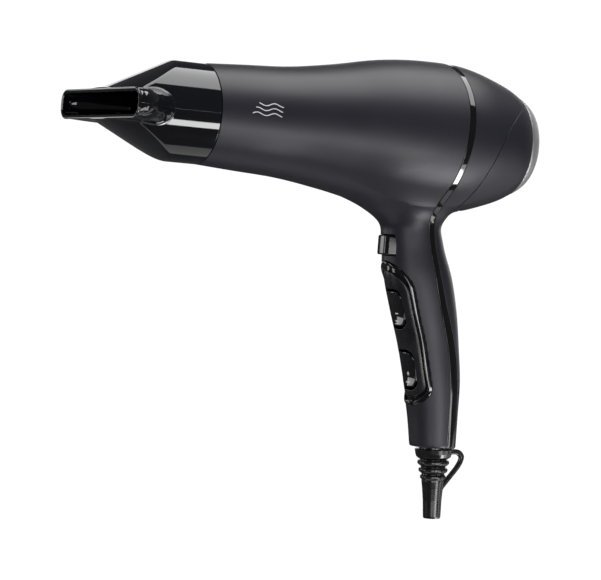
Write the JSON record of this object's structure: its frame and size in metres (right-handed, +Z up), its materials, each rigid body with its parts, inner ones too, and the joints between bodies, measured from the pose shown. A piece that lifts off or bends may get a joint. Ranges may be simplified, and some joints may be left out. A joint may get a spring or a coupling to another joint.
{
  "type": "hair dryer",
  "caption": "Pistol-grip hair dryer with a flared slot nozzle, tapered barrel, rear intake ring, front rocker switches, cold-shot button and strain relief with hanging loop.",
  "frame": {"origin": "on the barrel's axis, at the plane just ahead of the handle where a ring holder takes the tapered barrel", "axes": "X along the barrel, with the air outlet and nozzle towards -X and the intake towards +X; Z up, with the handle hanging towards -Z; Y across, the object's symmetry plane being Y = 0"},
  "size_m": [0.2705, 0.1, 0.2642],
  "materials": {
    "body_soft_touch": "soft-touch matt charcoal",
    "gloss_black": "high gloss black",
    "trim_gloss": "gloss black",
    "ring_silver": "satin silver",
    "grille_black": "satin black",
    "mesh_steel": "woven steel",
    "panel_satin": "satin black",
    "rubber_black": "satin rubber",
    "heat_resin": "heat-resistant resin",
    "mica": "mica sheet",
    "nichrome": "heating wire",
    "duct_resin": "natural nylon",
    "motor_steel": "zinc-plated steel",
    "bearing_bronze": "sintered bronze",
    "magnet": "ferrite",
    "copper_armature": "copper and steel laminations",
    "plated_steel": "zinc plated",
    "circuit_board": "epoxy board",
    "switch_resin": "switch resin",
    "button_black": "satin black",
    "wire_sleeve": "insulated wire"
  },
  "bodies": {
    "housing": {"front_shell": "body_soft_touch", "rear_shell": "body_soft_touch", "trim_strip": "trim_gloss", "outlet_tube": "heat_resin", "outlet_grille": "heat_resin", "heater_tube": "mica", "heater_frame": "mica", "heater_coil": "nichrome", "thermostat": "plated_steel", "thermal_fuse": "plated_steel", "fan_duct": "duct_resin", "duct_seal": "rubber_black", "motor_can": "motor_steel", "motor_endcap": "switch_resin", "motor_bushings": "bearing_bronze", "motor_magnets": "magnet", "rectifier_board": "circuit_board", "switch_surround": "trim_gloss", "switch_panel": "panel_satin", "speed_rocker_pin": "plated_steel", "heat_rocker_pin": "plated_steel", "speed_switch_body": "switch_resin", "heat_switch_body": "switch_resin", "cold_shot_spring": "plated_steel", "cold_shot_switch": "panel_satin", "strain_relief_boot": "rubber_black", "terminal_block": "switch_resin", "cord_clamp": "panel_satin", "clamp_screws": "plated_steel", "housing_screws": "plated_steel", "heater_leads": "wire_sleeve", "switch_leads": "wire_sleeve"},
    "nozzle_collar": {"nozzle_collar": "heat_resin"},
    "nozzle": {"nozzle_upper_shell": "gloss_black", "nozzle_lower_shell": "gloss_black"},
    "fan_rotor": {"motor_shaft": "plated_steel", "motor_armature": "copper_armature", "fan_impeller": "grille_black"},
    "speed_rocker": {"speed_rocker": "gloss_black"},
    "heat_rocker": {"heat_rocker": "gloss_black"},
    "cold_shot_button": {"cold_shot_button": "button_black"},
    "filter_cap": {"rear_filter_cap": "body_soft_touch", "intake_ring": "ring_silver", "intake_grille": "grille_black", "filter_mesh": "mesh_steel"}
  },
  "joints": [
    {"name": "nozzle_pull", "type": "slide", "parent": "housing", "child": "nozzle_collar", "axis": [-1, 0, 0], "range_m": [0, 0.02]},
    {"name": "nozzle_turn", "type": "hinge", "parent": "nozzle_collar", "child": "nozzle", "pos_m": [-0.096, 0, 0], "axis": [1, 0, 0], "continuous": true},
    {"name": "fan_spin", "type": "hinge", "parent": "housing", "child": "fan_rotor", "pos_m": [0.06, 0, 0], "axis": [1, 0, 0], "continuous": true},
    {"name": "speed_rocker_tilt", "type": "hinge", "parent": "housing", "child": "speed_rocker", "pos_m": [0.05347, 0, -0.0979], "axis": [0, 1, 0], "range_deg": [-10, 10]},
    {"name": "heat_rocker_tilt", "type": "hinge", "parent": "housing", "child": "heat_rocker", "pos_m": [0.06461, 0, -0.13286], "axis": [0, 1, 0], "range_deg": [-10, 10]},
    {"name": "cold_shot_press", "type": "slide", "parent": "housing", "child": "cold_shot_button", "axis": [1, 0, 0], "range_m": [0, 0.0025], "stiffness_N_per_m": 400, "springref_m": -0.002, "deforming": ["cold_shot_spring"]},
    {"name": "filter_cap_pull", "type": "slide", "parent": "housing", "child": "filter_cap", "axis": [1, 0, 0], "range_m": [0, 0.03]}
  ]
}
